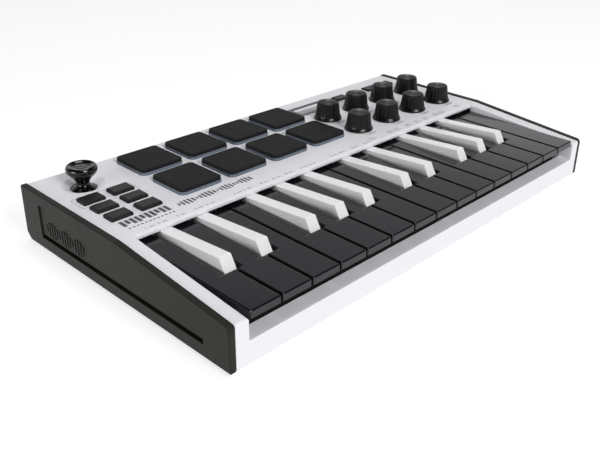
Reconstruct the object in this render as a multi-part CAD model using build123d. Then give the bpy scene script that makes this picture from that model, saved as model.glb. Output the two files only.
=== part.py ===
"""Two-octave MIDI controller keyboard: one STEP file per separate piece.

Millimetres. +X is the player's right, +Y goes from the player to the back edge, +Z is up.
The origin is on the surface that the feet stand on, below the middle of the case.
"""
import os
from math import atan2, degrees, sqrt

from build123d import *

# ---- overall ----
WIDTH = 318.0
DEPTH = 178.0
FOOT_H = 1.5
PANEL_T = 3.8
WALL = 2.2
DECK_T = 2.4
GAP = 0.2

CASE_X = WIDTH / 2 - PANEL_T
FRONT = -DEPTH / 2
BACK = DEPTH / 2 - 1.5
BASE = FOOT_H

# ---- case surfaces: the cheeks slope up from the front, the deck is almost level ----
KINK_Y = FRONT + 84.5
CHEEK_FRONT_Z = 25.5
KINK_Z = 33.7
DECK_BACK_Z = 34.4
LIP_Y = FRONT + 83.5
LIP_ROUND = 1.6
CHEEK_ROUND = 1.0
WELL_X = 147.5
WELL_WALL = 2.0
LEDGE_FRONT_Z = 13.7
LEDGE_BACK_Z = 14.6
LEDGE_Y = FRONT + 8.5
BACK_CHAMFER = 4.0

# ---- keys ----
NATURALS = 15
KEY_PITCH = 19.53
KEY_GAP = 1.1
KEYS_LEFT = -NATURALS * KEY_PITCH / 2
KEY_FRONT = FRONT + 0.5
KEY_LIP_H = 4.0
KEY_TOP_FRONT = 28.1
KEY_TOP_LIP = 29.1
KEY_WALL = 1.2
KEY_ROOF = 2.0
KEY_EDGE = 0.75
KEY_CORNER = 0.7
KEY_SKIRT_Z = 19.0
KEY_REAR = FRONT + 86.0
OVERHANG_Y = FRONT + 11.0
NOTCH_Y = FRONT + 32.0
NOTCH_GAP = 2.1
ACC_WIDTH = 7.4
ACC_TOP_WIDTH = 7.3
ACC_FRONT = FRONT + 34.5
ACC_FOOT = FRONT + 33.6
ACC_RIDGE = FRONT + 37.7
ACC_RIDGE_Z = 34.2
ACC_LIP_Z = 31.0
ACC_EDGE = 0.6
ACC_HOLLOW_Z = 27.0
ACC_TAIL_Z = 29.2
PIVOT_Y = FRONT + 94.0
PIVOT_Z = 25.5
PIN_R = 1.5
RUN_FIT = 0.05
TAIL_W = 6.0
TAIL_END = PIVOT_Y + 4.0
TAIL_BOTTOM = 22.5
ACTUATOR_Y = FRONT + 55.0
ACTUATOR_Z = (17.5, 27.5)
BEARING_TOP = 30.4
RAIL_TOP = 12.5
FELT_T = 1.4

# ---- pads ----
PAD_COLS, PAD_ROWS = 4, 2
PAD_W, PAD_D, PAD_R = 28.6, 29.0, 2.8
PAD_PITCH_X, PAD_PITCH_Y = 34.94, 36.3
PAD_X0 = -88.5
PAD_Y0 = FRONT + 118.6
SKIRT_EDGE = 0.3
SKIRT_H = 1.5
PAD_CAP_H = 2.15
PAD_FLANGE = 2.2
PAD_STEM = 4.2

# ---- buttons ----
LEFT_RISE = 1.9
RIGHT_RISE = 1.3
BUTTON_CLEAR = 0.25
BUTTON_FLANGE = 0.9
LEFT_BUTTON = (13.1, 8.8)
LEFT_BUTTON_X = (-140.8, -122.6)
LEFT_BUTTON_Y = tuple(FRONT + 133.9 - 12.93 * row for row in range(3))
RIGHT_BUTTON = (12.6, 8.1)
RIGHT_BUTTON_X = tuple(85.9 + 17.5 * i for i in range(4))
RIGHT_BUTTON_Y = FRONT + 159.3

# ---- knobs ----
KNOB_X = tuple(47.1 + 29.7 * i for i in range(4))
KNOB_Y = (FRONT + 107.0, FRONT + 135.6)
KNOB_R = 9.7
KNOB_TOP_R = 7.5
KNOB_H = 12.0
KNOB_LIFT = 0.5
FLUTES = 18
SHAFT_R = 3.0
BUSHING_R = 3.5

# ---- joystick ----
STICK_X = -132.9
STICK_Y = FRONT + 155.0
STICK_PIVOT_Z = 22.7
DISH_R = 12.0
DISH_DEPTH = 1.65
DISH_MID_R = 9.0
DOME_R = 11.6
DOME_T = 1.3

# ---- display ----
SCREEN_W, SCREEN_D = 34.6, 13.8
SCREEN_X, SCREEN_Y = 54.2, FRONT + 159.5

# ---- fasteners and feet ----
SHANK_R = 1.4
HEAD_R = 2.7
HEAD_H = 1.8
BOSS_R = 3.0
SMALL_BOSS_R = 2.6
PLATE_TOP = BASE + 2.5
FOOT_R = 6.5
FOOT_SINK = 0.8
FEET = [(sx * 132.0, y) for sx in (-1, 1) for y in (-74.0, 70.0)]
BACK_BOSSES = [(x, BACK - 5.4) for x in (-150.0, -109.5, 37.2, 94.0, 150.0)]
MID_BOSSES = [(-150.2, 8.5), (150.2, 8.5), (-109.5, 18.0), (37.2, 17.6)]
FRONT_BOSSES = [(x, FRONT + 5.2) for x in (-140.0, -70.0, 0.0, 70.0, 140.0)]
CHASSIS_SCREWS = [(x, y) for y in (-66.0, -8.0) for x in (-136.7, 0.0, 136.7)]
CHASSIS_Z = 6.0
CHASSIS_T = 2.5
BOSS_FOOT = 4.0
SHANK_BORE = SHANK_R + 0.05
BEARING_T = 2.4
OUTER_MARGIN = 5.0

# ---- end panels ----
PEG_R = 1.8
PEG_LENGTH = 2.0
PEGS = [(-60.0, 12.0), (0.0, 14.0), (62.0, 14.0)]
RECESS_DEPTH = 0.8
GROOVE_DEPTH = 2.9
PANEL_FRONT_ROUND = 2.8
PANEL_BACK_ROUND = 1.2

# ---- boards and sockets ----
BOARD_T = 1.6
PAD_BOARD_Z = 28.0
KNOB_BOARD_Z = 24.5
MAIN_BOARD_Z = 13.7
SOCKET_Z = MAIN_BOARD_Z + 5.5
USB_X, JACK_X = -100.0, -74.0
USB_W, USB_H = 12.0, 11.0
JACK_R = 3.3
JACK_FERRULE_R = 5.4
MAIN_BOARD_SCREWS = [(-146.0, 20.0), (24.0, 20.0), (24.0, 76.0)]
BOARD_Y = (15.2, BACK - 8.5)
KEY_BOARD_Z = CHASSIS_Z + CHASSIS_T
KEY_BOARD_X = 143.0
FAR = 60.0

FLOOR_UP = (Align.CENTER, Align.CENTER, Align.MIN)


# ---- small builders ----
def deck_z(y):
    """Height of the deck's top surface at depth y."""
    return KINK_Z + (DECK_BACK_Z - KINK_Z) * (y - KINK_Y) / (BACK - KINK_Y)


def key_top_z(y):
    """Height of the natural keys' top surface at depth y."""
    slope = (KEY_TOP_LIP - KEY_TOP_FRONT) / (LIP_Y - KEY_FRONT)
    return KEY_TOP_FRONT + slope * (y - KEY_FRONT)


def block(x0, x1, y0, y1, z0, z1):
    """A box between two limits on each axis."""
    box = Box(x1 - x0, y1 - y0, z1 - z0, align=(Align.MIN, Align.MIN, Align.MIN))
    return Pos(x0, y0, z0) * box


def prism_x(points, x0, x1):
    """A side outline of (y, z) points, drawn out from x0 to x1."""
    return extrude(Plane.YZ.offset(x0) * Polygon(*points, align=None), amount=x1 - x0)


def post(x, y, z0, z1, radius):
    return Pos(x, y, z0) * Cylinder(radius, z1 - z0, align=FLOOR_UP)


def rod_x(x0, x1, y, z, radius):
    return Pos(x0, y, z) * Rot(0, 90, 0) * Cylinder(radius, x1 - x0, align=FLOOR_UP)


def rod_y(x, y0, y1, z, radius):
    return Pos(x, y0, z) * Rot(-90, 0, 0) * Cylinder(radius, y1 - y0, align=FLOOR_UP)


def tile(x, y, width, depth, radius, z0, z1):
    """An upright rounded rectangle centred on (x, y)."""
    outline = Plane.XY.offset(z0) * Pos(x, y) * RectangleRounded(width, depth, radius)
    return extrude(outline, amount=z1 - z0)


def ball(x, y, z, radius):
    return Pos(x, y, z) * Sphere(radius)


def turned(profile):
    """A solid turned about the Z axis from (radius, z) points."""
    return revolve(Plane.XZ * Polygon(*profile, align=None), axis=Axis.Z)


def top_edges(solid):
    """Edges round the highest large face that looks up."""
    level = solid.faces().filter_by(lambda f: f.normal_at().Z > 0.9)
    return level.sort_by(SortBy.AREA)[-1].edges()


def save(name, *solids):
    shape = solids[0] if len(solids) == 1 else Compound(children=list(solids))
    export_step(shape, f"parts/{name}.step")


# ---- key layout: tails share each group of naturals equally ----
def key_layout():
    """Yields (is_natural, left edge, right edge, tail centre) from the lowest key up."""
    group_naturals = (3, 4, 3, 4, 1)
    first = 0
    for naturals in group_naturals:
        tails = 2 * naturals - 1
        spacing = naturals * KEY_PITCH / tails if naturals > 1 else 3 * KEY_PITCH / 5
        left = KEYS_LEFT + first * KEY_PITCH
        for i in range(tails):
            natural_left = left + (i // 2) * KEY_PITCH
            yield i % 2 == 0, natural_left, natural_left + KEY_PITCH, left + spacing * (i + 0.5)
        first += naturals


LAYOUT = list(key_layout())
TAILS = [key[3] for key in LAYOUT]
BEARINGS = (
    [TAILS[0] - OUTER_MARGIN]
    + [(a + b) / 2 for a, b in zip(TAILS, TAILS[1:])]
    + [TAILS[-1] + OUTER_MARGIN]
)


def tail_and_pins(index, front_y, top_points):
    """The narrow rear arm of a key, with a stub pin into the bearing on each side."""
    centre = TAILS[index]
    arm = prism_x(
        [(front_y, TAIL_BOTTOM), (TAIL_END, TAIL_BOTTOM)] + top_points,
        centre - TAIL_W / 2,
        centre + TAIL_W / 2,
    )
    end_gap = 0.3
    pins = rod_x(BEARINGS[index] + end_gap, BEARINGS[index + 1] - end_gap, PIVOT_Y, PIVOT_Z, PIN_R)
    return arm + pins


def actuator(centre):
    """The post under a key that presses its contact dome."""
    return block(centre - 1.5, centre + 1.5, ACTUATOR_Y - 2.5, ACTUATOR_Y + 2.5, *ACTUATOR_Z)


def natural_key(index):
    _, left, right, centre = LAYOUT[index]
    x0, x1 = left + KEY_GAP / 2, right - KEY_GAP / 2
    reach = ACC_WIDTH / 2 + NOTCH_GAP
    has_lower = index > 0 and not LAYOUT[index - 1][0]
    has_upper = index < len(LAYOUT) - 1 and not LAYOUT[index + 1][0]
    neck0 = TAILS[index - 1] + reach if has_lower else x0
    neck1 = TAILS[index + 1] - reach if has_upper else x1
    side = [
        (KEY_FRONT, key_top_z(KEY_FRONT) - KEY_LIP_H),
        (OVERHANG_Y - 1.5, key_top_z(KEY_FRONT) - KEY_LIP_H),
        (OVERHANG_Y, KEY_SKIRT_Z),
        (KEY_REAR, KEY_SKIRT_Z),
        (KEY_REAR, key_top_z(KEY_REAR)),
        (KEY_FRONT, key_top_z(KEY_FRONT)),
    ]
    head = prism_x(side, x0, x1)
    if has_lower:
        head -= block(x0 - 1, neck0, NOTCH_Y, FAR, 0, FAR)
    if has_upper:
        head -= block(neck1, x1 + 1, NOTCH_Y, FAR, 0, FAR)
    front_corners = head.edges().filter_by(Axis.Z).group_by(Axis.Y)[0]
    head = fillet(front_corners, KEY_CORNER)
    head = fillet(top_edges(head), KEY_EDGE)

    inner_top = KEY_TOP_FRONT - KEY_ROOF
    wall = KEY_WALL
    hollow = block(x0 + wall, x1 - wall, KEY_FRONT + wall, NOTCH_Y - wall, 0, inner_top)
    hollow += block(neck0 + wall, neck1 - wall, NOTCH_Y - 2 * wall, KEY_REAR - wall, 0, inner_top)
    head -= hollow
    rear_top = [(TAIL_END, key_top_z(TAIL_END) - 1.0), (KEY_REAR - 1, key_top_z(KEY_REAR) - 1.0)]
    return head + tail_and_pins(index, KEY_REAR - 1, rear_top) + actuator(centre)


def accidental_key(index):
    centre = TAILS[index]
    half, top_half = ACC_WIDTH / 2, ACC_TOP_WIDTH / 2
    shoulder_z = key_top_z(ACC_FRONT)
    section = [
        (centre - half, KEY_SKIRT_Z),
        (centre + half, KEY_SKIRT_Z),
        (centre + half, shoulder_z),
        (centre + top_half, ACC_RIDGE_Z + 0.5),
        (centre - top_half, ACC_RIDGE_Z + 0.5),
        (centre - half, shoulder_z),
    ]
    bar = extrude(
        Plane.XZ.offset(-ACC_FOOT) * Polygon(*section, align=None), amount=ACC_FOOT - KEY_REAR
    )
    slope = (ACC_RIDGE_Z - shoulder_z) / (ACC_RIDGE - ACC_FRONT)
    side = [
        (ACC_FOOT, KEY_SKIRT_Z),
        (KEY_REAR, KEY_SKIRT_Z),
        (KEY_REAR, ACC_LIP_Z - 0.3),
        (LIP_Y, ACC_LIP_Z),
        (ACC_RIDGE, ACC_RIDGE_Z),
        (ACC_FOOT, shoulder_z - slope * (ACC_FRONT - ACC_FOOT)),
    ]
    head = bar & prism_x(side, centre - half - 1, centre + half + 1)
    head = fillet(top_edges(head), ACC_EDGE)
    wall = KEY_WALL
    hollow = block(
        centre - half + wall, centre + half - wall, ACC_FRONT + wall, KEY_REAR - wall, 0, ACC_HOLLOW_Z
    )
    head -= hollow
    rear_top = [(TAIL_END, ACC_TAIL_Z), (KEY_REAR - 1, ACC_TAIL_Z)]
    return head + tail_and_pins(index, KEY_REAR - 1, rear_top) + actuator(centre)


# ---- keybed ----
def keybed_chassis():
    """The floor plate with its front stop rail, the bearing comb behind it, and the stop felt."""
    half = -BEARINGS[0] + BEARING_T / 2
    rear = TAIL_END + 1.0
    top = CHASSIS_Z + CHASSIS_T
    rail = (-half + 2, half - 2, OVERHANG_Y + 1, OVERHANG_Y + 5)
    plate = block(-half, half, LEDGE_Y + 0.3, rear, CHASSIS_Z, top)
    plate += block(*rail, CHASSIS_Z, RAIL_TOP)
    plate -= [post(x, y, 0, 20, SHANK_R + 0.1) for x, y in CHASSIS_SCREWS]
    comb = block(-half, half, TAIL_END - 1.5, rear, top, TAIL_BOTTOM - 0.1)
    comb += [
        block(x - BEARING_T / 2, x + BEARING_T / 2, PIVOT_Y - 4, rear, top, BEARING_TOP)
        for x in BEARINGS
    ]
    comb -= rod_x(-half - 1, half + 1, PIVOT_Y, PIVOT_Z, PIN_R + RUN_FIT)
    return plate, comb, block(*rail, RAIL_TOP, RAIL_TOP + FELT_T)


def contact_strip(board_top):
    """Rubber strip with one dome under each key."""
    base_top = board_top + 1.2
    strip = block(-KEY_BOARD_X, KEY_BOARD_X, ACTUATOR_Y - 7, ACTUATOR_Y + 7, board_top, base_top)
    domes = [
        Pos(x, ACTUATOR_Y, base_top - 0.1) * Cone(3.2, 2.2, 4.0, align=FLOOR_UP) for x in TAILS
    ]
    return strip + domes


# ---- case ----
def case_outside():
    side = [
        (FRONT, BASE),
        (BACK - BACK_CHAMFER, BASE),
        (BACK, BASE + BACK_CHAMFER),
        (BACK, DECK_BACK_Z),
        (KINK_Y, KINK_Z),
        (FRONT, CHEEK_FRONT_Z),
    ]
    well = [
        (FRONT - 1, LEDGE_FRONT_Z),
        (LEDGE_Y, LEDGE_BACK_Z),
        (LIP_Y, LEDGE_BACK_Z),
        (LIP_Y, FAR),
        (FRONT - 1, FAR),
    ]
    solid = prism_x(side, -CASE_X, CASE_X) - prism_x(well, -WELL_X, WELL_X)

    def on_cheek(edge):
        middle = edge @ 0.5
        inner = abs(abs(middle.X) - WELL_X) < 0.1 and edge.length > 60 and middle.Z > 28
        front = abs(middle.Y - FRONT) < 0.1 and abs(middle.Z - CHEEK_FRONT_Z) < 0.1
        return inner or front

    solid = fillet(solid.edges().filter_by(on_cheek), CHEEK_ROUND)
    round_y, round_z = LIP_Y + LIP_ROUND, deck_z(LIP_Y + LIP_ROUND) - LIP_ROUND
    nose = block(-WELL_X, WELL_X, LIP_Y - 1, round_y, round_z, FAR)
    return solid - (nose - rod_x(-WELL_X, WELL_X, round_y, round_z, LIP_ROUND))


def top_case():
    outside = case_outside()
    inner_x = CASE_X - WALL
    cavity = prism_x(
        [
            (FRONT + WALL, BASE - 1),
            (BACK - WALL, BASE - 1),
            (BACK - WALL, DECK_BACK_Z - DECK_T),
            (KINK_Y, KINK_Z - DECK_T),
            (FRONT + WALL, CHEEK_FRONT_Z - DECK_T),
        ],
        -inner_x,
        inner_x,
    )
    shell = outside - cavity
    wall_x = WELL_X + WELL_WALL
    ribs = block(-wall_x, wall_x, LEDGE_Y - 2, LEDGE_Y, PLATE_TOP + BOSS_FOOT, LEDGE_BACK_Z + 1)
    ribs += block(-wall_x, wall_x, FRONT + 1, LEDGE_Y, LEDGE_FRONT_Z - 2, LEDGE_BACK_Z + 1)
    ribs += [
        block(*sorted((s * WELL_X, s * wall_x)), FRONT + 1, LIP_Y, CHASSIS_Z, FAR)
        for s in (-1, 1)
    ]
    shell += ribs & outside

    bosses = [
        post(x, y, PLATE_TOP + BOSS_FOOT, deck_z(y) - 1, BOSS_R) for x, y in BACK_BOSSES + MID_BOSSES
    ]
    bosses += [
        post(x, y, PLATE_TOP + BOSS_FOOT, LEDGE_FRONT_Z - 1, SMALL_BOSS_R) for x, y in FRONT_BOSSES
    ]
    dish_boss = post(STICK_X, STICK_Y, deck_z(STICK_Y) - 5.0, deck_z(STICK_Y) - 1, DISH_R + 1.5)
    shell += bosses + [dish_boss]
    shell -= [post(x, y, 0, 20, SHANK_BORE) for x, y in BACK_BOSSES + MID_BOSSES]
    shell -= [post(x, y, 0, 12, SHANK_BORE) for x, y in FRONT_BOSSES]
    return shell - deck_openings()


def deck_openings():
    """Every hole and hollow in the deck, the end walls and the back wall."""
    below = KINK_Z - DECK_T - 3.0
    skirt = 2 * (SKIRT_EDGE + BUTTON_CLEAR)
    cuts = [
        tile(x, y, PAD_W + skirt, PAD_D + skirt, PAD_R + 1, below, FAR) for x, y in pad_centres()
    ]
    for x, y, (width, depth) in button_places():
        cuts.append(tile(x, y, width + 2 * BUTTON_CLEAR, depth + 2 * BUTTON_CLEAR, 1.0, below, FAR))
    cuts += [post(x, y, below, FAR, BUSHING_R + 0.5) for x in KNOB_X for y in KNOB_Y]
    cuts.append(tile(SCREEN_X, SCREEN_Y, SCREEN_W + 0.3, SCREEN_D + 0.3, 1.0, below, FAR))

    top = deck_z(STICK_Y)
    rise = (DISH_R**2 - DISH_MID_R**2 - DISH_DEPTH**2) / (2 * DISH_DEPTH)
    cuts.append(ball(STICK_X, STICK_Y, top + rise, sqrt(rise**2 + DISH_R**2)))
    cuts.append(ball(STICK_X, STICK_Y, STICK_PIVOT_Z, DOME_R + 0.3))

    usb_half = USB_W / 2 + 0.3
    usb_top = SOCKET_Z + USB_H / 2 + 0.3
    cuts.append(block(USB_X - usb_half, USB_X + usb_half, BACK - 5, BACK + 5, MAIN_BOARD_Z, usb_top))
    cuts.append(rod_y(JACK_X, BACK - 5, BACK + 5, SOCKET_Z, JACK_FERRULE_R + 0.3))
    cuts += [
        rod_x(s * CASE_X - 5, s * CASE_X + 5, y, z, PEG_R + 0.1) for s in (-1, 1) for y, z in PEGS
    ]
    return cuts


def bottom_case():
    x1 = CASE_X - WALL - GAP
    y0 = FRONT + WALL + GAP
    y1 = BACK - WALL - GAP
    plate = prism_x(
        [
            (y0, BASE),
            (BACK - BACK_CHAMFER, BASE),
            (y1, BASE + BACK_CHAMFER - WALL - GAP),
            (y1, PLATE_TOP),
            (y0, PLATE_TOP),
        ],
        -x1,
        x1,
    )
    ribs = [block(x - 0.8, x + 0.8, LEDGE_Y + 4, TAIL_END, PLATE_TOP, CHASSIS_Z)
            for x in (-100.0, -50.0, 50.0, 100.0)]
    bosses = [post(x, y, PLATE_TOP, PLATE_TOP + 3.9, SMALL_BOSS_R) for x, y in all_case_screws()]
    chassis_posts = [post(x, y, PLATE_TOP, CHASSIS_Z, BOSS_R) for x, y in CHASSIS_SCREWS]
    board_posts = [
        post(x, y, PLATE_TOP, MAIN_BOARD_Z - BOARD_T, BOSS_R) for x, y in MAIN_BOARD_SCREWS
    ]
    body = plate + ribs + bosses + chassis_posts + board_posts
    cuts = [post(x, y, 0, 20, SHANK_R + 0.15) for x, y in all_case_screws()]
    cuts += [post(x, y, 0, BASE + HEAD_H + 0.2, HEAD_R + 0.2) for x, y in all_case_screws()]
    cuts += [post(x, y, BASE + 1.0, 20, SHANK_BORE)
             for x, y in CHASSIS_SCREWS + MAIN_BOARD_SCREWS]
    cuts += [post(x, y, 0, BASE + FOOT_SINK, FOOT_R + 0.1) for x, y in FEET]
    cuts.append(tile(0, 20, 90, 46, 2, 0, BASE + 0.4))
    return body - cuts


def all_case_screws():
    return BACK_BOSSES + MID_BOSSES + FRONT_BOSSES


# ---- end panels ----
def end_panel(side):
    """The outer cheek: raised rim, shallow field and a deep groove along its foot."""
    outer_x = side * WIDTH / 2
    inner_x = side * CASE_X
    x0, x1 = sorted((outer_x, inner_x))
    outline = [
        (FRONT, BASE),
        (FRONT + DEPTH - BACK_CHAMFER, BASE),
        (FRONT + DEPTH, BASE + BACK_CHAMFER),
        (FRONT + DEPTH - 0.8, DECK_BACK_Z + 0.7),
        (KINK_Y, KINK_Z + 0.7),
        (FRONT, CHEEK_FRONT_Z + 0.6),
    ]
    body = prism_x(outline, x0, x1)
    crosswise = body.edges().filter_by(Axis.X)
    front_top = crosswise.filter_by(lambda e: (e @ 0.5).Y < FRONT + 1 and (e @ 0.5).Z > 20)
    body = fillet(front_top, PANEL_FRONT_ROUND)
    back_top = body.edges().filter_by(Axis.X).filter_by(
        lambda e: (e @ 0.5).Y > BACK and (e @ 0.5).Z > 30
    )
    body = fillet(back_top, PANEL_BACK_ROUND)
    rims = body.faces().filter_by(Axis.X).edges()
    body = chamfer(rims, 0.45)

    front, back = FRONT + 18, FRONT + 159.5
    recess = [
        (front, BASE + 8.5),
        (back, BASE + 7.5),
        (back, BASE + 26.5),
        (back - 5.5, BASE + 27.9),
        (FRONT + 98, BASE + 28.9),
        (FRONT + 80, BASE + 28.5),
        (FRONT + 48, BASE + 25.8),
        (FRONT + 27, BASE + 22.5),
        (front, BASE + 19.0),
    ]
    beyond = outer_x + side
    floor_x = outer_x - side * RECESS_DEPTH
    groove_x = outer_x - side * GROOVE_DEPTH
    body -= prism_x(recess, *sorted((floor_x, beyond)))
    body -= block(*sorted((groove_x, beyond)), front, back, BASE + 7.0, BASE + 9.0)
    ends = sorted((inner_x, inner_x - side * PEG_LENGTH))
    return body + [rod_x(*ends, y, z, PEG_R) for y, z in PEGS]


# ---- pads and buttons ----
def pad_centres():
    return [
        (PAD_X0 + col * PAD_PITCH_X, PAD_Y0 + row * PAD_PITCH_Y)
        for row in range(PAD_ROWS)
        for col in range(PAD_COLS)
    ]


def drum_pad(x, y):
    """A crowned rubber cap on a translucent skirt that is held under the deck."""
    level = deck_z(y)
    skirt_top = level + SKIRT_H
    cap = tile(x, y, PAD_W, PAD_D, PAD_R, skirt_top, skirt_top + PAD_CAP_H)
    cap = fillet(top_edges(cap), 0.6)
    skirt = tile(x, y, PAD_W + 2 * SKIRT_EDGE, PAD_D + 2 * SKIRT_EDGE, PAD_R + SKIRT_EDGE,
                 level - PAD_STEM + 0.2, skirt_top)
    skirt = fillet(top_edges(skirt), 0.2)
    skirt += tile(x, y, PAD_W + 2 * PAD_FLANGE, PAD_D + 2 * PAD_FLANGE, PAD_R,
                  level - PAD_STEM, level - DECK_T - 0.35)
    return cap, skirt


def button_places():
    """(x, y, size) of every button: six on the left, then four on the right."""
    left = [(x, y, LEFT_BUTTON) for y in LEFT_BUTTON_Y for x in LEFT_BUTTON_X]
    right = [(x, RIGHT_BUTTON_Y, RIGHT_BUTTON) for x in RIGHT_BUTTON_X]
    return left + right


def button(x, y, size):
    width, depth = size
    level = deck_z(y)
    rise = LEFT_RISE if size is LEFT_BUTTON else RIGHT_RISE
    cap = tile(x, y, width, depth, 0.7, level - 3.0, level + rise)
    cap = chamfer(top_edges(cap), 0.7)
    flange = tile(x, y, width + 2 * BUTTON_FLANGE, depth + 2 * BUTTON_FLANGE, 1.0,
                  level - 4.0, level - DECK_T - 0.25)
    plunger = post(x, y, level - 4.6, level - 3.5, 1.8)
    return cap + flange + plunger


# ---- knobs ----
def knob(x, y):
    """A fluted, tapered cap on its shaft, with a flared foot and a shallow cone on top."""
    base = deck_z(y) + KNOB_LIFT
    side = [
        (0, 0),
        (KNOB_R, 0),
        (KNOB_R, 0.6),
        (8.95, 2.0),
        (8.5, 3.6),
        (KNOB_TOP_R, KNOB_H - 1.0),
        (KNOB_TOP_R - 0.6, KNOB_H - 0.45),
        (0, KNOB_H),
    ]
    cap = turned(side)
    lean = degrees(atan2(8.5 - KNOB_TOP_R, KNOB_H - 4.6))
    groove = Pos(8.55, 0, 7.2) * Rot(0, -lean, 0) * Cylinder(1.0, 9.0)
    cap -= [Rot(0, 0, 360 / FLUTES * i) * groove for i in range(FLUTES)]
    cap -= post(0, 0, -1, 4.2, 5.2)
    cap -= post(0, 0, -1, 9.6, SHAFT_R)
    shaft_foot = KNOB_BOARD_Z + 1.0 - base
    shaft = post(0, 0, shaft_foot, 9.6, SHAFT_R)
    return Pos(x, y, base) * cap, Pos(x, y, base) * shaft


# ---- joystick ----
def joystick_stick():
    """Cap, neck, dome and stem, with the cross pin that turns in the yoke."""
    dish = [(0, 21.9), (3.2, 22.0), (5.6, 22.35), (6.6, 22.95)]
    rim = [(7.4, 23.15), (8.3, 22.5), (8.75, 21.2), (8.6, 19.8)]
    flare = [(7.7, 18.4), (6.5, 17.1), (5.3, 15.8), (4.4, 14.5), (3.7, 13.2), (3.6, 12.3), (4.3, 11.0)]
    outside = Spline(*dish, *rim, *flare)
    inside = Polyline(flare[-1], (4.1, DOME_R - 1.7), (3.9, 8.0), (0, 8.0), dish[0])
    body = revolve(Plane.XZ * make_face([outside, inside]), axis=Axis.Z)
    dome = ball(0, 0, 0, DOME_R) - ball(0, 0, 0, DOME_R - DOME_T)
    dome &= post(0, 0, 4.2, 20, 20)
    stem = post(0, 0, -4.5, 11.0, 2.4)
    pin = rod_y(0, -5.3, 5.3, 0, 1.2)
    return Pos(STICK_X, STICK_Y, STICK_PIVOT_Z) * (body + dome + stem + pin)


def joystick_yoke():
    frame = block(-6.8, 6.8, -5.6, 5.6, -1.9, 1.9) - block(-4.4, 4.4, -3.0, 3.0, -5, 5)
    frame += rod_x(-8.8, -6, 0, 0, PIN_R)
    frame += rod_x(6, 8.8, 0, 0, PIN_R)
    frame -= rod_y(0, -10, 10, 0, 1.2 + RUN_FIT)
    return Pos(STICK_X, STICK_Y, STICK_PIVOT_Z) * frame


def joystick_housing():
    foot = MAIN_BOARD_Z - STICK_PIVOT_Z
    body = block(-9.0, 9.0, -6.5, 6.5, foot, foot + 2)
    for s in (-1, 1):
        body += block(*sorted((s * 7.4, s * 9)), -2.8, 2.8, foot, 1.9)
    body -= rod_x(-20, 20, 0, 0, PIN_R + RUN_FIT)
    return Pos(STICK_X, STICK_Y, STICK_PIVOT_Z) * body


# ---- electronics ----
def board(x0, x1, y0, y1, top, holes):
    plate = block(x0, x1, y0, y1, top - BOARD_T, top)
    return plate - [post(x, y, 0, FAR, radius) for x, y, radius in holes]


def usb_socket():
    """A square socket: metal shell, open at the back, with the contact tongue inside."""
    mouth = BACK - 0.3
    half = USB_W / 2
    shell = block(USB_X - half, USB_X + half, BACK - 16, mouth, MAIN_BOARD_Z, SOCKET_Z + USB_H / 2)
    shell -= block(USB_X - 4.3, USB_X + 4.3, BACK - 12, mouth + 1, SOCKET_Z - 4.0, SOCKET_Z + 4.0)
    tongue = block(USB_X - 2.8, USB_X + 2.8, BACK - 12, BACK - 5, SOCKET_Z - 1.6, SOCKET_Z + 1.6)
    return shell, tongue


def sustain_socket():
    """The pedal socket: body on the board and a ferrule through the back wall."""
    body = block(JACK_X - 7.5, JACK_X + 7.5, BACK - 24, BACK - 3, MAIN_BOARD_Z, SOCKET_Z + 5.5)
    body += rod_y(JACK_X, BACK - 4, BACK + 0.8, SOCKET_Z, JACK_FERRULE_R)
    return body - rod_y(JACK_X, BACK - 20, BACK + 2, SOCKET_Z, JACK_R)


def encoder(x, y):
    roof = deck_z(KINK_Y) - DECK_T - 0.3
    body = block(x - 6, x + 6, y - 6, y + 6, KNOB_BOARD_Z, roof)
    body += post(x, y, roof - 0.1, deck_z(y) + 4.0, BUSHING_R)
    return body - post(x, y, KNOB_BOARD_Z + 0.9, FAR, SHAFT_R + RUN_FIT)


def electronics():
    y0, y1 = BOARD_Y
    case_posts = [(x, y, BOSS_R + 0.5) for x, y in all_case_screws()]
    main_posts = [(x, y, SHANK_R + 0.1) for x, y in MAIN_BOARD_SCREWS]
    stick_hole = [(STICK_X, STICK_Y, DISH_R + 1.8)]
    pad_board = board(-151, 34.5, y0, y1, PAD_BOARD_Z, case_posts + stick_hole)
    knob_board = board(36.0, 151, y0, y1, KNOB_BOARD_Z, case_posts)
    main_board = board(-151, 31, y0, y1, MAIN_BOARD_Z, case_posts + main_posts)
    key_board = block(-KEY_BOARD_X, KEY_BOARD_X, ACTUATOR_Y - 12, ACTUATOR_Y + 12,
                      KEY_BOARD_Z, KEY_BOARD_Z + BOARD_T)
    pieces = [pad_board, knob_board, main_board, key_board]
    pieces += [encoder(x, y) for y in KNOB_Y for x in KNOB_X]
    for x, y, size in button_places():
        floor = PAD_BOARD_Z if size is LEFT_BUTTON else KNOB_BOARD_Z
        pieces.append(block(x - 3, x + 3, y - 3, y + 3, floor, deck_z(y) - 5.5))
    pieces += usb_socket()
    pieces += [sustain_socket(), joystick_housing()]
    screen_top = deck_z(SCREEN_Y) - 0.1
    pieces.append(tile(SCREEN_X, SCREEN_Y, SCREEN_W, SCREEN_D, 0.8, KNOB_BOARD_Z, screen_top))
    return pieces


# ---- fasteners and feet ----
def screw(x, y, seat_z, length, head_up):
    """A pan-head screw with a cross recess; its head is above or below seat_z."""
    shank = post(0, 0, -length, 0.1, SHANK_R)
    head = post(0, 0, 0, HEAD_H - 0.3, HEAD_R)
    head = fillet(top_edges(head), 0.5)
    slot = Box(3.0, 0.7, 1.6)
    body = shank + head - [Pos(0, 0, HEAD_H - 0.3) * Rot(0, 0, turn) * slot for turn in (0, 90)]
    flip = Rot(0, 0, 0) if head_up else Rot(180, 0, 0)
    return Pos(x, y, seat_z) * flip * body


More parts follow.
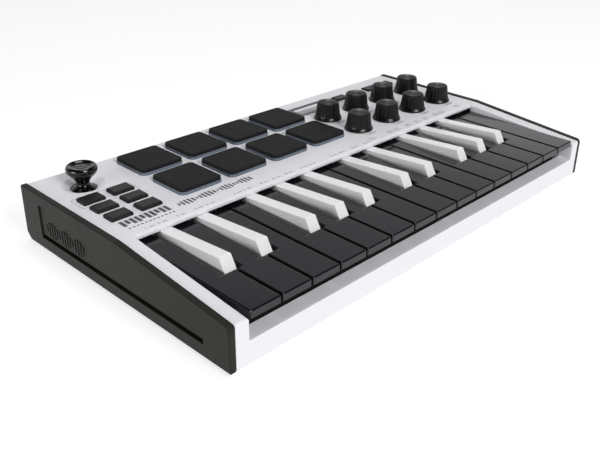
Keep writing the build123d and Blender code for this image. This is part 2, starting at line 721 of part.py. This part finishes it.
def all_screws():
    case_seat = BASE + HEAD_H + 0.2
    screws = [screw(x, y, case_seat, 10, False) for x, y in BACK_BOSSES + MID_BOSSES]
    screws += [screw(x, y, case_seat, 8, False) for x, y in FRONT_BOSSES]
    screws += [screw(x, y, CHASSIS_Z + CHASSIS_T, 5.0, True) for x, y in CHASSIS_SCREWS]
    screws += [screw(x, y, MAIN_BOARD_Z, 6.0, True) for x, y in MAIN_BOARD_SCREWS]
    return screws


def foot(x, y):
    pad = post(x, y, 0, BASE + FOOT_SINK, FOOT_R)
    return chamfer(pad.edges().filter_by(GeomType.CIRCLE).group_by(Axis.Z)[0], 0.4)


def main():
    os.makedirs("parts", exist_ok=True)
    save("top_case", top_case())
    save("bottom_case", bottom_case())
    save("end_panels", end_panel(-1), end_panel(1))
    save("keybed_chassis", *keybed_chassis(), contact_strip(KEY_BOARD_Z + BOARD_T))
    naturals = [i for i, key in enumerate(LAYOUT) if key[0]]
    accidentals = [i for i, key in enumerate(LAYOUT) if not key[0]]
    for number, index in enumerate(naturals, 1):
        save(f"natural_key_{number:02d}", natural_key(index))
    for number, index in enumerate(accidentals, 1):
        save(f"accidental_key_{number:02d}", accidental_key(index))
    for number, (x, y) in enumerate(pad_centres(), 1):
        save(f"drum_pad_{number}", *drum_pad(x, y))
    for number, (x, y, size) in enumerate(button_places(), 1):
        side = "left" if size is LEFT_BUTTON else "right"
        save(f"{side}_button_{number if side == 'left' else number - 6}", button(x, y, size))
    for number, (x, y) in enumerate(((x, y) for y in KNOB_Y for x in KNOB_X), 1):
        save(f"knob_{number}", *knob(x, y))
    save("joystick_stick", joystick_stick())
    save("joystick_yoke", joystick_yoke())
    save("electronics", *electronics())
    save("case_screws", *all_screws())
    save("rubber_feet", *[foot(x, y) for x, y in FEET])


main()
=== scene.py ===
import bpy
import math
from mathutils import Matrix, Vector
from mathutils.bvhtree import BVHTree


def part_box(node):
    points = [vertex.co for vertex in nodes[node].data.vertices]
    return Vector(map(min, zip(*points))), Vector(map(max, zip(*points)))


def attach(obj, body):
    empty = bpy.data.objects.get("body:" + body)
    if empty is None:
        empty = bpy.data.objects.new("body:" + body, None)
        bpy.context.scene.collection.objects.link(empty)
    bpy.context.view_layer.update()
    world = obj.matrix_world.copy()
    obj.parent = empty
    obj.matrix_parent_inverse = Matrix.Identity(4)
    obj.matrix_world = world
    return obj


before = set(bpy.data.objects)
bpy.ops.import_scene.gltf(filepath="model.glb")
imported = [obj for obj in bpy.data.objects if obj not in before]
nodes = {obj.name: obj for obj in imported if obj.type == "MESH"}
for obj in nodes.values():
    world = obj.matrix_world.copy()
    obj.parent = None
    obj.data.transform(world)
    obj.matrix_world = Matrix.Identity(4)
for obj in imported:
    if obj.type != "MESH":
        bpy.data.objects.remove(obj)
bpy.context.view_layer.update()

MM = 0.001

NOISE_LOW, NOISE_HIGH = 0.3, 0.7  # nearly all of a noise texture's values lie between these
DRIFT_SCALE, GLOSS_SCALE = 18, 160  # of a moulding's colour and gloss, in cycles per metre
GRAIN_HEIGHT = 0.2 * MM


# ---------------------------------------------------------------- material helpers
def principled(name):
    """A new material, its node tree and its Principled shader."""
    mat = bpy.data.materials.new(name)
    mat.use_nodes = True
    return mat, mat.node_tree, mat.node_tree.nodes["Principled BSDF"]


def noise(tree, scale, detail=2.0, rough=0.5):
    """Noise over the frame's own coordinates, in cycles per metre."""
    coords = tree.nodes.new("ShaderNodeTexCoord")
    tex = tree.nodes.new("ShaderNodeTexNoise")
    tex.inputs["Scale"].default_value = scale
    tex.inputs["Detail"].default_value = detail
    tex.inputs["Roughness"].default_value = rough
    tree.links.new(coords.outputs["Object"], tex.inputs["Vector"])
    return tex.outputs["Fac"]


def remap(tree, value, low, high):
    """A noise value spread from low to high."""
    node = tree.nodes.new("ShaderNodeMapRange")
    node.inputs["From Min"].default_value = NOISE_LOW
    node.inputs["From Max"].default_value = NOISE_HIGH
    node.inputs["To Min"].default_value = low
    node.inputs["To Max"].default_value = high
    tree.links.new(value, node.inputs["Value"])
    return node.outputs["Result"]


def ramp(tree, value, stops):
    """The colour that stops, a list of (position, colour), give for value."""
    node = tree.nodes.new("ShaderNodeValToRGB")
    elements = node.color_ramp.elements
    while len(elements) < len(stops):
        elements.new(1.0)
    for element, (position, colour) in zip(elements, stops):
        element.position = position
        element.color = (*colour, 1)
    tree.links.new(value, node.inputs["Fac"])
    return node.outputs["Color"]


def tint(tree, value, dark, light):
    """A colour that goes from dark to light with a noise value."""
    return ramp(tree, value, [(NOISE_LOW, dark), (NOISE_HIGH, light)])


def bump(tree, shader, height, strength):
    """Surface relief from a noise value."""
    node = tree.nodes.new("ShaderNodeBump")
    node.inputs["Strength"].default_value = strength
    node.inputs["Distance"].default_value = GRAIN_HEIGHT
    tree.links.new(height, node.inputs["Height"])
    tree.links.new(node.outputs["Normal"], shader.inputs["Normal"])


def plastic(name, colour, rough, vary=0.06, grain=4500, relief=0.02, rough_vary=0.06,
            specular=0.5):
    """Moulded plastic: slow colour drift, fine moulded grain, uneven gloss."""
    mat, tree, shader = principled(name)
    shader.inputs["Specular IOR Level"].default_value = specular
    dark = [c * (1 - vary) for c in colour]
    light = [min(1.0, c * (1 + vary)) for c in colour]
    drift = tint(tree, noise(tree, DRIFT_SCALE, detail=3), dark, light)
    tree.links.new(drift, shader.inputs["Base Color"])
    gloss = noise(tree, GLOSS_SCALE, detail=3)
    tree.links.new(remap(tree, gloss, rough - rough_vary, rough + rough_vary),
                   shader.inputs["Roughness"])
    bump(tree, shader, noise(tree, grain, rough=0.6), relief)
    return mat


def polished(name, colour, rough, specular=0.5, gloss_colour=(1.0, 1.0, 1.0)):
    """Glossy moulding: hardly any grain, only the slow waviness of a moulded face."""
    mat = plastic(name, colour, rough, vary=0.03, grain=90, relief=0.004,
                  rough_vary=rough * 0.15, specular=specular)
    shader = mat.node_tree.nodes["Principled BSDF"]
    shader.inputs["Specular Tint"].default_value = (*gloss_colour, 1)
    return mat


def metal(name, colour, rough):
    """Plated metal: fine mottling, uneven gloss."""
    mat, tree, shader = principled(name)
    shader.inputs["Metallic"].default_value = 1.0
    dark = [c * 0.85 for c in colour]
    mottling = tint(tree, noise(tree, scale=400, detail=3), dark, colour)
    tree.links.new(mottling, shader.inputs["Base Color"])
    gloss = remap(tree, noise(tree, scale=900), rough * 0.8, rough * 1.2)
    tree.links.new(gloss, shader.inputs["Roughness"])
    bump(tree, shader, noise(tree, scale=3000), 0.05)
    return mat


def turned_plastic(name, colour, rough, specular):
    """A face with fine circular tool marks: its highlight opens into a bow tie."""
    mat = plastic(name, colour, rough, vary=0.05, grain=2600, relief=0.02, specular=specular)
    shader = mat.node_tree.nodes["Principled BSDF"]
    shader.inputs["Anisotropic"].default_value = 0.85
    tangent = mat.node_tree.nodes.new("ShaderNodeTangent")
    tangent.direction_type = "RADIAL"
    tangent.axis = "Z"
    mat.node_tree.links.new(tangent.outputs["Tangent"], shader.inputs["Tangent"])
    return mat


# ---------------------------------------------------------------- materials
CASE = plastic("case_white", (0.755, 0.750, 0.785), 0.42, vary=0.010, grain=3800, relief=0.05)
PANEL = plastic("panel_black", (0.0150, 0.0140, 0.0115), 0.50, vary=0.02, grain=3000, relief=0.04,
                rough_vary=0.02, specular=0.16)
NATURAL = polished("key_black", (0.0042, 0.0046, 0.0058), 0.09,
                   gloss_colour=(0.90, 0.94, 1.0))
ACCIDENTAL = plastic("key_white", (0.815, 0.815, 0.83), 0.24, vary=0.006, grain=3800, relief=0.008,
                     rough_vary=0.01)
PAD = plastic("pad_rubber", (0.0105, 0.0105, 0.0115), 0.66, vary=0.05, grain=2600, relief=0.12,
              rough_vary=0.03, specular=0.15)
SKIRT = plastic("pad_skirt", (0.125, 0.155, 0.195), 0.42, vary=0.08, grain=2600, relief=0.03)
BUTTON = plastic("button_rubber", (0.0085, 0.0085, 0.0095), 0.42, vary=0.05, grain=2600,
                 relief=0.05, rough_vary=0.03, specular=0.28)
KNOB = plastic("knob_black", (0.0030, 0.0030, 0.0036), 0.32, vary=0.05, grain=3800, relief=0.004,
               rough_vary=0.01, specular=0.34)
KNOB_TOP = turned_plastic("knob_top", (0.0055, 0.0055, 0.0065), 0.40, 0.36)
STICK = plastic("joystick_gloss", (0.0032, 0.0032, 0.0035), 0.13, vary=0.03, grain=3800,
                relief=0.003, rough_vary=0.008)
CHASSIS = plastic("chassis_black", (0.008, 0.008, 0.008), 0.6, grain=2000, relief=0.10)
BOARD = plastic("board_green", (0.012, 0.060, 0.030), 0.35, vary=0.12, grain=900, relief=0.05)
FOOT = plastic("foot_rubber", (0.022, 0.022, 0.022), 0.75, vary=0.10, grain=2600, relief=0.2)
INK = plastic("print_dark", (0.070, 0.070, 0.075), 0.55, vary=0.05, grain=2600, relief=0.05)
BEZEL = plastic("display_bezel", (0.085, 0.085, 0.090), 0.35, vary=0.05, grain=2600, relief=0.02)
LENS_GREY = polished("display_grey", (0.26, 0.285, 0.305), 0.12)
# painted reflection: a pale colour that stands in for studio light mirrored in the display glass
LENS_PAINTED_REFLECTION = polished("painted_reflection_glass", (0.70, 0.70, 0.72), 0.12)
LENS_DARK = polished("display_dark", (0.016, 0.016, 0.017), 0.12, specular=0.2)
INSERT = plastic("socket_insert", (0.010, 0.010, 0.010), 0.5)
STEEL = metal("screw_steel", (0.50, 0.50, 0.52), 0.32)
SHELL = metal("socket_shell", (0.62, 0.62, 0.64), 0.25)


# ---------------------------------------------------------------- CAD nodes
def dress(name, *materials):
    """The node's material slots become these, with every face in the first."""
    mesh = nodes[name].data
    mesh.materials.clear()
    for mat in materials:
        mesh.materials.append(mat)
    for face in mesh.polygons:
        face.material_index = 0
    return mesh


def paint(name, base, *rules):
    """The node in base, and in a rule's material where its test holds at a face's middle."""
    mesh = dress(name, base, *[mat for mat, _ in rules])
    for face in mesh.polygons:
        for i, (_, test) in enumerate(rules, 1):
            if test(face.center, face.normal):
                face.material_index = i
                break


def numbered(prefix, count):
    return [f"{prefix}_{i}" for i in range(1, count + 1)]


PADS = numbered("drum_pad", 8)
KNOBS = numbered("knob", 8)
LEFT_BUTTONS = numbered("left_button", 6)
KEYS = sorted((n for n in nodes if n.startswith(("natural_key", "accidental_key"))),
              key=lambda n: sum(c.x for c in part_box(n)))

for n in KEYS:
    dress(n, NATURAL if n.startswith("natural") else ACCIDENTAL)
for n in LEFT_BUTTONS + numbered("right_button", 4):
    dress(n, BUTTON)
for n in ("joystick_stick", "joystick_yoke"):
    dress(n, STICK)
dress("top_case", CASE)
dress("bottom_case", CASE)
dress("end_panels", PANEL)
dress("keybed_chassis", CHASSIS)
dress("case_screws", STEEL)
dress("rubber_feet", FOOT)

PAD_CAP_H = 2.14 * MM
for n in PADS:
    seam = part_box(n)[1].z - PAD_CAP_H
    paint(n, SKIRT, (PAD, lambda c, _, z=seam: c.z > z))

KNOB_TOP_H = 0.6 * MM
FACES_UP = 0.95
for n in KNOBS:
    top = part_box(n)[1].z - KNOB_TOP_H
    paint(n, KNOB, (KNOB_TOP, lambda c, normal, z=top: c.z > z and normal.z > FACES_UP))

BOARD_TOPS = (10.1 * MM, 13.7 * MM, 24.5 * MM, 28 * MM)


def inside(low, high):
    """A test for the middle of a face being between two corners, in millimetres."""
    low, high = Vector(low) * MM, Vector(high) * MM
    return lambda c, _: all(a < v < b for a, v, b in zip(low, c, high))


def on_board(c, _):
    depth, margin = 1.7 * MM, 0.05 * MM
    return any(top - depth < c.z < top + margin for top in BOARD_TOPS)


USB_TONGUE = inside((-103, 75, 17.5), (-97, 83, 20.9))
USB_SHELL = inside((-106.1, 71, 13.75), (-93.9, 99, 60))
PEDAL_SOCKET = inside((-82, 63, 13.75), (-66, 99, 60))
DISPLAY_MODULE = inside((36.8, 63.4, 25), (71.6, 77.6, 60))
paint("electronics", SHELL, (INSERT, USB_TONGUE), (SHELL, USB_SHELL), (INSERT, PEDAL_SOCKET),
      (INSERT, DISPLAY_MODULE), (BOARD, on_board))


# ---------------------------------------------------------------- pieces of mesh
def surface_of(name):
    """The node's faces, to cast rays at."""
    mesh = nodes[name].data
    return BVHTree.FromPolygons([v.co for v in mesh.vertices], [p.vertices for p in mesh.polygons])


DECK = surface_of("top_case")
ELECTRONICS = surface_of("electronics")


def top_at(surface, x, y):
    """Height of the surface's top at (x, y)."""
    above = Vector((x, y, 100 * MM))
    hit, *_ = surface.ray_cast(above, Vector((0, 0, -1)))
    return hit.z


def mesh_piece(name, verts, faces, mat, slot):
    """A new piece that is fixed to the case."""
    mesh = bpy.data.meshes.new(name)
    mesh.from_pydata(verts, [], faces)
    mesh.materials.append(mat)
    mesh.update()
    piece = bpy.data.objects.new(name, mesh)
    bpy.context.scene.collection.objects.link(piece)
    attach(piece, "case")


def rounded(width, depth, radius, steps=5):
    """An anticlockwise rounded rectangle about (0, 0)."""
    points = []
    for i, (sx, sy) in enumerate(((1, 1), (-1, 1), (-1, -1), (1, -1))):
        for k in range(steps + 1):
            a = math.pi / 2 * (i + k / steps)
            points.append((sx * (width / 2 - radius) + radius * math.cos(a),
                           sy * (depth / 2 - radius) + radius * math.sin(a)))
    return points


def stack(loops, close_top=True):
    """Vertices and faces of a wall through equal-sized loops, from the lowest to the last."""
    n = len(loops[0])
    verts = [p for loop in loops for p in loop]
    faces = []
    for k in range(len(loops) - 1):
        for i in range(n):
            j = (i + 1) % n
            faces.append([k * n + i, k * n + j, (k + 1) * n + j, (k + 1) * n + i])
    if close_top:
        faces.append([(len(loops) - 1) * n + i for i in range(n)])
    return verts, faces


def wave(low, rise, angle):
    """The length of one bar in a row that swells and falls."""
    return low + rise * abs(math.sin(angle))


# ---------------------------------------------------------------- display
SCREEN = Vector((54.2, 70.5)) * MM  # the middle of the display module
FRAME_LOW, FRAME_HIGH = Vector((36.9, 61.2)) * MM, Vector((71.5, 77.5)) * MM
WINDOW_LOW, WINDOW_HIGH = Vector((39.9, 64.5)) * MM, Vector((68.5, 77.3)) * MM
# the middle band's pale colour is painted reflection of the studio light in the glass
WINDOW_BANDS = (("display_window", 70.6 * MM, LENS_GREY),
                ("display_painted_reflection", 74.0 * MM, LENS_PAINTED_REFLECTION),
                ("display_border", WINDOW_HIGH.y, LENS_DARK))
FRAME_RADIUS, WINDOW_RADIUS, BAND_RADIUS = 0.8 * MM, 0.4 * MM, 0.05 * MM
FRAME_RISE, GLASS_RISE = 0.20 * MM, 0.02 * MM  # above the display module's top
FRAME_EDGE = 0.05 * MM


def ring(low, high, radius, z):
    """A rounded rectangle from corner low to corner high, at height z."""
    size, middle = high - low, (low + high) / 2
    return [(middle.x + x, middle.y + y, z) for x, y in rounded(size.x, size.y, radius)]


def display():
    """A thin frame that laps the deck and, inside it, a glossy window in three bands: grey in
    front, a pale band across the middle that is painted reflection of the studio light, and a dark
    border at the back.
    """
    module = top_at(ELECTRONICS, SCREEN.x, SCREEN.y)
    top, glass = module + FRAME_RISE, module + GLASS_RISE
    edge = Vector((FRAME_EDGE, FRAME_EDGE))
    mesh_piece("display_bezel", *stack([
        ring(FRAME_LOW, FRAME_HIGH, FRAME_RADIUS, module - FRAME_EDGE),
        ring(FRAME_LOW, FRAME_HIGH, FRAME_RADIUS, top - FRAME_EDGE),
        ring(FRAME_LOW + edge, FRAME_HIGH - edge, FRAME_RADIUS - 2 * FRAME_EDGE, top),
        ring(WINDOW_LOW - 2 * edge, WINDOW_HIGH + 2 * edge, WINDOW_RADIUS + 2 * FRAME_EDGE, top),
        ring(WINDOW_LOW, WINDOW_HIGH, WINDOW_RADIUS, glass - GLASS_RISE / 2),
    ], close_top=False), BEZEL, "electronics")
    y = WINDOW_LOW.y
    for name, end, mat in WINDOW_BANDS:
        low, high = Vector((WINDOW_LOW.x, y)), Vector((WINDOW_HIGH.x, end))
        loops = [ring(low, high, BAND_RADIUS, z) for z in (module - GLASS_RISE, glass)]
        mesh_piece(name, *stack(loops), mat, "electronics")
        y = end


display()


# ---------------------------------------------------------------- prints
INK_TOP, INK_FOOT = 0.03 * MM, 0.02 * MM  # above and below the deck's surface
DIGIT_SHARE = 0.7  # of the type size that a digit is high
DASH_SHARE = 0.9  # of its stretch that a dash may fill


class Print:
    """Flat ink shapes gathered into one mesh that lies on the deck."""

    def __init__(self):
        self.verts, self.faces = [], []

    def outline(self, points):
        """One closed outline, at least three points, anticlockwise seen from above."""
        n, start = len(points), len(self.verts)
        heights = [top_at(DECK, x, y) for x, y in points]
        self.verts += [(x, y, h - INK_FOOT) for (x, y), h in zip(points, heights)]
        self.verts += [(x, y, h + INK_TOP) for (x, y), h in zip(points, heights)]
        self.faces.append([start + n + i for i in range(n)])
        self.faces.append([start + n - 1 - i for i in range(n)])
        for i in range(n):
            j = (i + 1) % n
            self.faces.append([start + i, start + j, start + n + j, start + n + i])

    def bar(self, x, y, width, depth, turn=0.0):
        """A rectangle centred on (x, y)."""
        c, s = math.cos(turn), math.sin(turn)
        corners = [(-width, -depth), (width, -depth), (width, depth), (-width, depth)]
        self.outline([(x + (a * c - b * s) / 2, y + (a * s + b * c) / 2) for a, b in corners])

    def number(self, text, x, y, height):
        """Digits centred on (x, y), in the plain built-in typeface."""
        curve = bpy.data.curves.new("digits", "FONT")
        curve.body = text
        curve.size = height / DIGIT_SHARE
        curve.align_x = "CENTER"
        curve.align_y = "CENTER"
        curve.resolution_u = 3
        curve.extrude = 0.5
        holder = bpy.data.objects.new("digits", curve)
        mesh = bpy.data.meshes.new_from_object(holder)
        start = len(self.verts)
        for v in mesh.vertices:
            px, py = x + v.co.x, y + v.co.y
            lift = INK_TOP if v.co.z > 0 else -INK_FOOT
            self.verts.append((px, py, top_at(DECK, px, py) + lift))
        self.faces += [[start + i for i in p.vertices] for p in mesh.polygons]
        bpy.data.objects.remove(holder)
        bpy.data.meshes.remove(mesh)
        bpy.data.curves.remove(curve)

    def dashes(self, points, dash, gap, width):
        """Dashes along the closed path through points."""
        for a, b in zip(points, points[1:] + points[:1]):
            ax, ay = a
            dx, dy = b[0] - ax, b[1] - ay
            length = math.hypot(dx, dy)
            count = max(1, round(length / (dash + gap)))
            for i in range(count):
                t = (i + 0.5) / count
                self.bar(ax + dx * t, ay + dy * t, min(dash, length * DASH_SHARE), width,
                         math.atan2(dy, dx))

    def build(self, name):
        mesh_piece(name, self.verts, self.faces, INK, "panel_black")


def centre_x(node):
    low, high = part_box(node)
    return (low.x + high.x) / 2


def key_labels(labels):
    """A number and a line behind each key, and a second line behind the keys on the right."""
    second_line_from = 35 * MM
    line = 0.42 * MM
    for i, n in enumerate(KEYS, 1):
        x, y = centre_x(n), -2.2 * MM
        if x > second_line_from:
            y = -1.5 * MM
            labels.bar(x, y + 2.3 * MM, 5.6 * MM, line)
        labels.number(str(i), x - 1.9 * MM, y, 1.7 * MM)
        labels.bar(x + 1.6 * MM, y, 3.2 * MM, line)


def knob_labels(labels):
    """A number and two lines in front of each knob."""
    line = 0.45 * MM
    for i, n in enumerate(KNOBS, 1):
        x, y = centre_x(n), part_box(n)[0].y - 1.8 * MM
        labels.number(str(i), x - 4.2 * MM, y, 1.9 * MM)
        labels.bar(x + 1.4 * MM, y + 0.45 * MM, 8.0 * MM, line)
        labels.bar(x + 0.4 * MM, y - 0.55 * MM, 6.0 * MM, line)


def pad_labels(labels):
    """A number at the back left corner of each pad."""
    for i, n in enumerate(PADS, 1):
        low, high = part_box(n)
        labels.number(str(i), low.x + 3.2 * MM, high.y + 0.1 * MM, 1.5 * MM)


def number_prints():
    labels = Print()
    key_labels(labels)
    knob_labels(labels)
    pad_labels(labels)
    labels.build("deck_numbers")


def bracket_print():
    """A dashed line round the two back buttons on the left."""
    lines = Print()
    margin = Vector((1.3, 1.3, 0)) * MM
    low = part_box("left_button_1")[0] - margin
    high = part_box("left_button_2")[1] + margin
    size, middle = high - low, (low + high) / 2
    corner_radius, corner_steps = 1.2 * MM, 2
    path = [(middle.x + x, middle.y + y)
            for x, y in rounded(size.x, size.y, corner_radius, corner_steps)]
    lines.dashes(path, dash=1.0 * MM, gap=0.6 * MM, width=0.32 * MM)
    lines.build("button_bracket")


def row(first_x, pitch, count):
    """The middles of count shapes side by side."""
    return [first_x + i * pitch for i in range(count)]


def deck_marks():
    """Two plain marks by the lip: a block of key shapes over a dashed line, and a row of bars."""
    marks = Print()
    long_y, long_depth = 9.2 * MM, 6.4 * MM
    short_y, short_depth = 9.9 * MM, 4.6 * MM
    for i, x in enumerate(row(-144.6 * MM, 3.0 * MM, 10)):
        short = i % 3 == 1
        marks.bar(x, short_y if short else long_y, 2.1 * MM, short_depth if short else long_depth)
    dash_y = 3.2 * MM
    for x in row(-144.4 * MM, 2.45 * MM, 12):
        marks.bar(x, dash_y, 1.5 * MM, 0.9 * MM)
    wave_y = 8.0 * MM
    for i, x in enumerate(row(-110.5 * MM, 2.4 * MM, 22)):
        marks.bar(x, wave_y, 1.35 * MM, wave(1.4 * MM, 4.4 * MM, 0.55 * i + 0.3))
    marks.build("deck_marks")


number_prints()
bracket_print()
deck_marks()


# ---------------------------------------------------------------- relief on the end panels
def panel_relief():
    """Plain bars, raised in the shallow field of each end panel."""
    low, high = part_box("end_panels")
    field_depth, sunk, rise = 0.8 * MM, 0.05 * MM, 0.5 * MM
    middle_z, width, radius, draft = 16.2 * MM, 1.5 * MM, 0.4 * MM, 0.15 * MM
    for name, side, outer in (("left_panel_relief", -1, low.x), ("right_panel_relief", 1, high.x)):
        field = outer - side * field_depth
        verts, faces = [], []
        for i, y in enumerate(row(28.0 * MM, 2.6 * MM, 15)):
            height = wave(2.4 * MM, 7.2 * MM, i * 0.62 + 0.5)
            loops = []
            for x, inset in ((field - side * sunk, 0), (field + side * rise, draft)):
                outline = rounded(width - 2 * inset, height - 2 * inset, radius - inset, 2)
                loops.append([(x, y - side * a, middle_z + b) for a, b in outline])
            bar_verts, bar_faces = stack(loops)
            faces += [[len(verts) + k for k in face] for face in bar_faces]
            verts += bar_verts
        mesh_piece(name, verts, faces, PANEL, "panel_black")


panel_relief()


# ---------------------------------------------------------------- floor, light and camera
def grey(level):
    return level, level, level


def floor():
    """A pale floor that also glows, so that it comes out near white."""
    mesh = bpy.data.meshes.new("floor")
    r = 6.0
    mesh.from_pydata([(-r, -r, 0), (r, -r, 0), (r, r, 0), (-r, r, 0)], [], [(0, 1, 2, 3)])
    mat, tree, shader = principled("floor_white")
    colour = tint(tree, noise(tree, scale=2), grey(0.35), grey(0.36))
    tree.links.new(colour, shader.inputs["Base Color"])
    shader.inputs["Roughness"].default_value = 0.9
    shader.inputs["Specular IOR Level"].default_value = 0.1
    shader.inputs["Emission Color"].default_value = (1, 1, 1, 1)
    shader.inputs["Emission Strength"].default_value = 0.72
    mesh.materials.append(mat)
    obj = bpy.data.objects.new("floor", mesh)
    bpy.context.scene.collection.objects.link(obj)


def area_light(name, direction, distance, level, size, size_y=None):
    """A soft box that gives a surface facing it `level` times a white sheet's brightness."""
    data = bpy.data.lights.new(name, "AREA")
    data.shape = "RECTANGLE"
    data.size = size
    data.size_y = size_y or size
    data.energy = level * math.pi**2 * distance**2
    obj = bpy.data.objects.new(name, data)
    away = Vector(direction).normalized()
    obj.location = away * distance
    obj.rotation_euler = (-away).to_track_quat("-Z", "Y").to_euler()
    bpy.context.scene.collection.objects.link(obj)


def mix(tree, blend, a, b):
    """Two colours put together at full strength."""
    node = tree.nodes.new("ShaderNodeMix")
    node.data_type = "RGBA"
    node.blend_type = blend
    node.inputs["Factor"].default_value = 1.0
    tree.links.new(a, node.inputs["A"])
    tree.links.new(b, node.inputs["B"])
    return node.outputs["Result"]


def grey_ramp(tree, value, stops):
    return ramp(tree, value, [(position, grey(level)) for position, level in stops])


def studio():
    """A pale backdrop behind the object that fades to a dark ceiling and a dark near side."""
    world = bpy.data.worlds.new("studio")
    world.use_nodes = True
    tree = world.node_tree
    coords = tree.nodes.new("ShaderNodeTexCoord")
    split = tree.nodes.new("ShaderNodeSeparateXYZ")
    tree.links.new(coords.outputs["Generated"], split.inputs["Vector"])
    toward = tree.nodes.new("ShaderNodeVectorMath")
    toward.operation = "DOT_PRODUCT"
    toward.inputs[1].default_value = (0.6, 0.8, 0)
    tree.links.new(coords.outputs["Generated"], toward.inputs[0])
    up, back = split.outputs["Z"], toward.outputs["Value"]
    wall = grey_ramp(tree, up, [(0.0, 1.0), (0.349, 0.95), (0.36, 0.70), (0.41, 0.48),
                                (0.515, 0.45), (0.545, 0.50), (0.616, 0.25), (0.707, 0.03)])
    backdrop = mix(tree, "MULTIPLY", wall, grey_ramp(tree, back, [(0.05, 0.05), (0.60, 1.0)]))
    horizon = grey_ramp(tree, up, [(0.03, 1.0), (0.12, 0.0)])
    total = mix(tree, "LIGHTEN", backdrop, horizon)
    tree.links.new(total, tree.nodes["Background"].inputs["Color"])
    bpy.context.scene.world = world


floor()
studio()
area_light("key_light", (-0.10, -0.80, 0.60), 1.6, 0.68, 0.60)
area_light("top_light", (0.12, 0.03, 1.0), 1.6, 0.36, 0.80)
area_light("left_light", (-1.0, 0.05, 0.25), 1.3, 0.36, 0.6, 0.25)


def main_camera():
    """The main view: from the front left, above the object."""
    camera = bpy.data.objects.new("camera", bpy.data.cameras.new("camera"))
    bpy.context.scene.collection.objects.link(camera)
    right = Vector((0.68659, -0.72683, 0.01746))
    down = Vector((-0.31033, -0.31470, -0.89703))
    forward = Vector((0.65748, 0.61047, -0.44163))
    turn = Matrix((right, -down, -forward)).transposed().to_4x4()
    camera.matrix_world = Matrix.Translation((-0.326536, -0.297566, 0.212749)) @ turn
    camera.data.sensor_width = 36
    camera.data.lens = 45.8
    camera.data.shift_x = -0.0385
    camera.data.shift_y = -0.0257
    camera.data.clip_start = 0.01
    camera.data.clip_end = 50
    bpy.context.scene.camera = camera


main_camera()
bpy.context.scene.view_settings.view_transform = "Standard"
